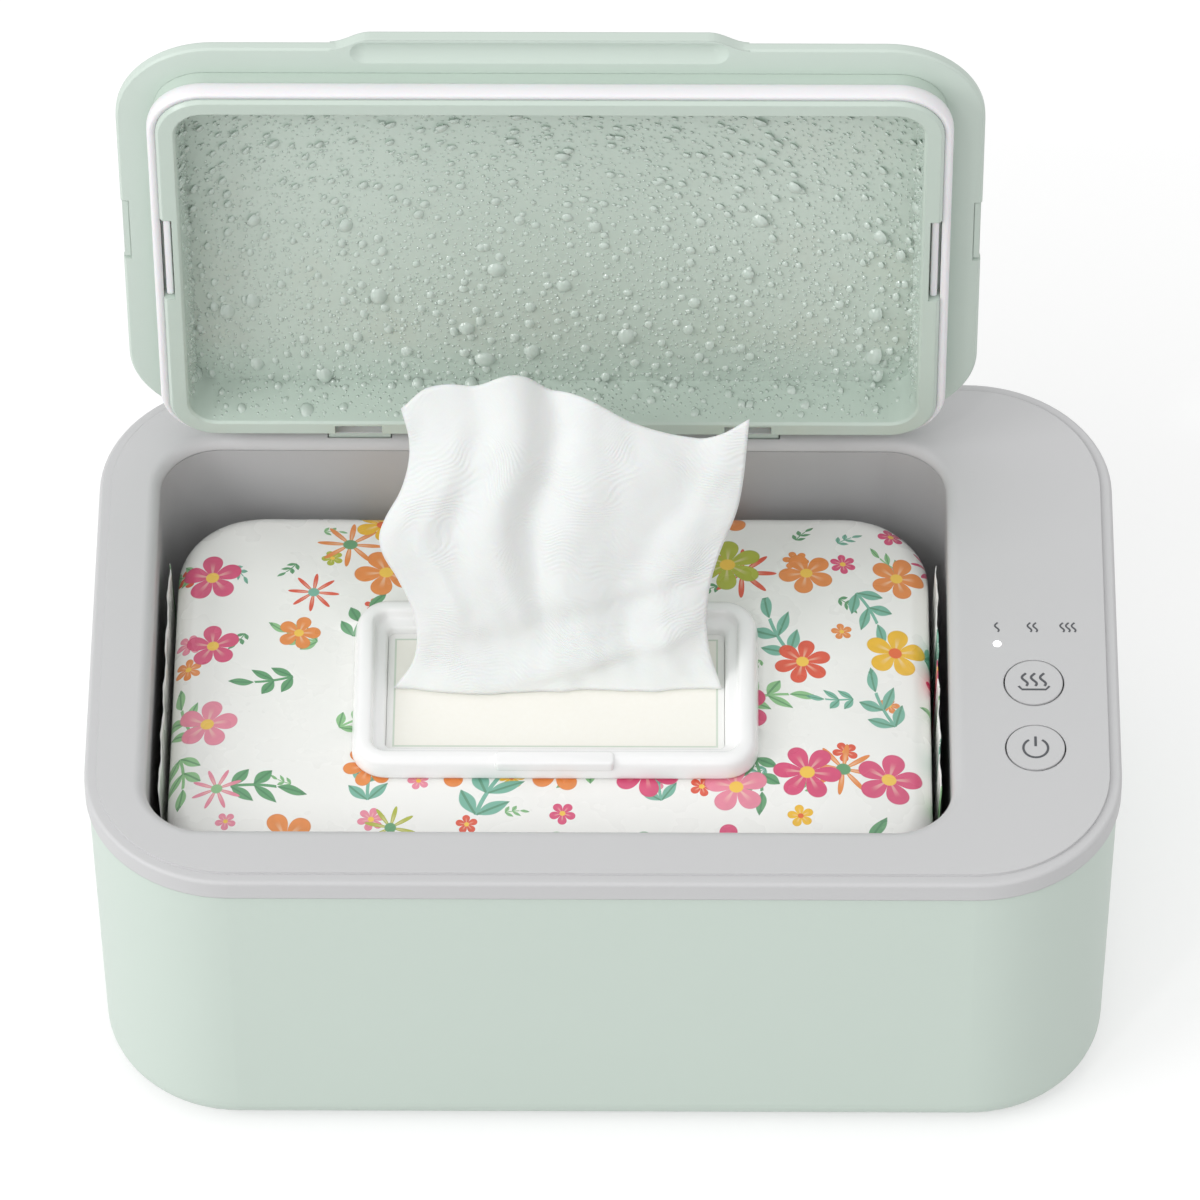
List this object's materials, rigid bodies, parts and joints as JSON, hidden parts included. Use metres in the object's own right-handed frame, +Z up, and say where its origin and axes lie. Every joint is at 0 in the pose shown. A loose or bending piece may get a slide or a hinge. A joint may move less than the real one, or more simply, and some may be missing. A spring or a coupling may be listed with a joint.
{
  "type": "baby wipe warmer",
  "caption": "Rounded box warmer with a hinged sealed lid, a heated well that holds a pack of wipes, and a side panel with push buttons and lamps.",
  "frame": {"origin": "middle of the footprint, on the plane of the feet", "axes": "+X to the right along the body's width, +Y to the back where the lid is hinged, +Z up"},
  "size_m": [0.26, 0.17, 0.2442],
  "materials": {
    "mint_plastic": "fine satin moulding",
    "grey_plastic": "satin",
    "mint_liner": "semi-gloss, wet",
    "seal_silicone": "smooth silicone",
    "white_plastic": "gloss",
    "pack_film": "printed film",
    "label_paper": "printed label",
    "wipe_fabric": "embossed nonwoven",
    "light_guide": "clear",
    "black_plastic": "satin",
    "feet_rubber": "matt",
    "steel": "zinc plated",
    "aluminium": "rolled",
    "heater_polyimide": "film",
    "foam": "closed-cell foam",
    "board": "solder mask",
    "wire": "insulation"
  },
  "bodies": {
    "root": {"outer_shell": "mint_plastic", "base_plate": "white_plastic", "top_bezel": "grey_plastic", "well_tank": "grey_plastic", "heating_plate": "aluminium", "heater_film": "heater_polyimide", "insulation_pad": "foam", "temperature_sensor": "black_plastic", "thermal_fuse": "steel", "heater_leads": "wire", "control_board": "board", "board_chips": "black_plastic", "heat_switch": "black_plastic", "power_switch": "black_plastic", "indicator_leds": "white_plastic", "light_pipes": "light_guide", "ribbon_cable": "white_plastic", "power_board": "board", "power_parts": "black_plastic", "inlet_leads": "wire", "dc_inlet": "black_plastic", "rubber_feet": "feet_rubber", "base_screws": "steel", "tank_screws": "steel", "board_screws": "steel", "hinge_pins": "steel", "wipes_pack": "pack_film", "pack_frame": "white_plastic", "pack_label": "label_paper", "wipe": "wipe_fabric"},
    "lid": {"lid_cover": "mint_plastic", "lid_liner": "mint_liner", "lid_seal": "seal_silicone", "lid_catches": "mint_plastic"},
    "heat_button": {"heat_button": "grey_plastic", "heat_plunger": "black_plastic"},
    "power_button": {"power_button": "grey_plastic", "power_plunger": "black_plastic"}
  },
  "joints": [
    {"name": "lid_hinge", "type": "hinge", "parent": "root", "child": "lid", "pos_m": [-0.0135, 0.0685, 0.0995], "axis": [1, 0, 0], "range_deg": [0, 88.5], "deforming": ["wipe"]},
    {"name": "heat_button_press", "type": "slide", "parent": "root", "child": "heat_button", "axis": [0, 0, -1], "range_m": [0, 0.0008], "stiffness_N_per_m": 800},
    {"name": "power_button_press", "type": "slide", "parent": "root", "child": "power_button", "axis": [0, 0, -1], "range_m": [0, 0.0008], "stiffness_N_per_m": 800}
  ]
}
